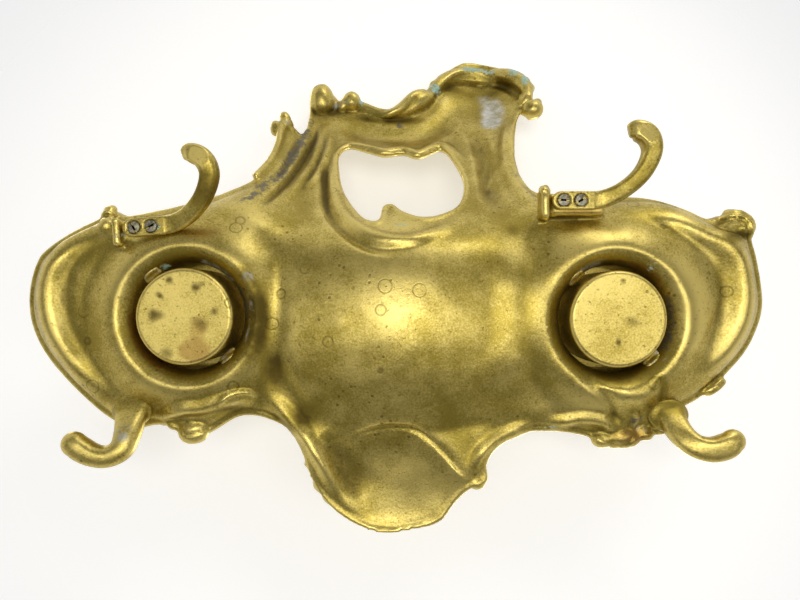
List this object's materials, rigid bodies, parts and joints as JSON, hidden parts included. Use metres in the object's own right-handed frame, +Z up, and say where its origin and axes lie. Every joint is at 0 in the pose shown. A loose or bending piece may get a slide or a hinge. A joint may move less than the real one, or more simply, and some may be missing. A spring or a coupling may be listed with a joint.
{
  "type": "desk inkstand",
  "caption": "Rococo cast brass desk inkstand with a central pen dish, pierced back gallery, lidded wells with pots and liners, and scroll feet.",
  "frame": {"origin": "centre of the bounding box at the level of the table that the feet rest on", "axes": "+X to the right along the tray, +Y to the back towards the gallery, +Z up"},
  "size_m": [0.3056, 0.2296, 0.1189],
  "materials": {
    "cast_brass": "aged cast brass, unlacquered, worn bright on high places",
    "spun_brass": "turned brass, lightly aged",
    "dark_brass": "dull greyed brass and solder",
    "liner_glass": "clear pressed glass"
  },
  "bodies": {
    "stand": {"tray_casting": "cast_brass", "front_foot_left": "cast_brass", "front_foot_right": "cast_brass", "back_foot_left": "cast_brass", "back_foot_right": "cast_brass", "back_foot_screws_left": "dark_brass", "back_foot_screws_right": "dark_brass", "hinge_collar_left": "cast_brass", "hinge_collar_right": "cast_brass", "collar_lugs_left": "dark_brass", "collar_lugs_right": "dark_brass", "ink_pot_left": "spun_brass", "ink_pot_right": "spun_brass", "glass_liner_left": "liner_glass", "glass_liner_right": "liner_glass", "hinge_pin_left": "dark_brass", "hinge_pin_right": "dark_brass"},
    "lid_left": {"lid_left": "cast_brass", "lid_finial_left": "spun_brass"},
    "lid_right": {"lid_right": "cast_brass", "lid_finial_right": "spun_brass"}
  },
  "joints": [
    {"name": "lid_hinge_left", "type": "hinge", "parent": "stand", "child": "lid_left", "pos_m": [-0.0875, 0.0003, 0.0372], "axis": [-1, 0, 0], "range_deg": [0, 105]},
    {"name": "lid_hinge_right", "type": "hinge", "parent": "stand", "child": "lid_right", "pos_m": [0.083, 0.0013, 0.0372], "axis": [-1, 0, 0], "range_deg": [0, 105]}
  ]
}
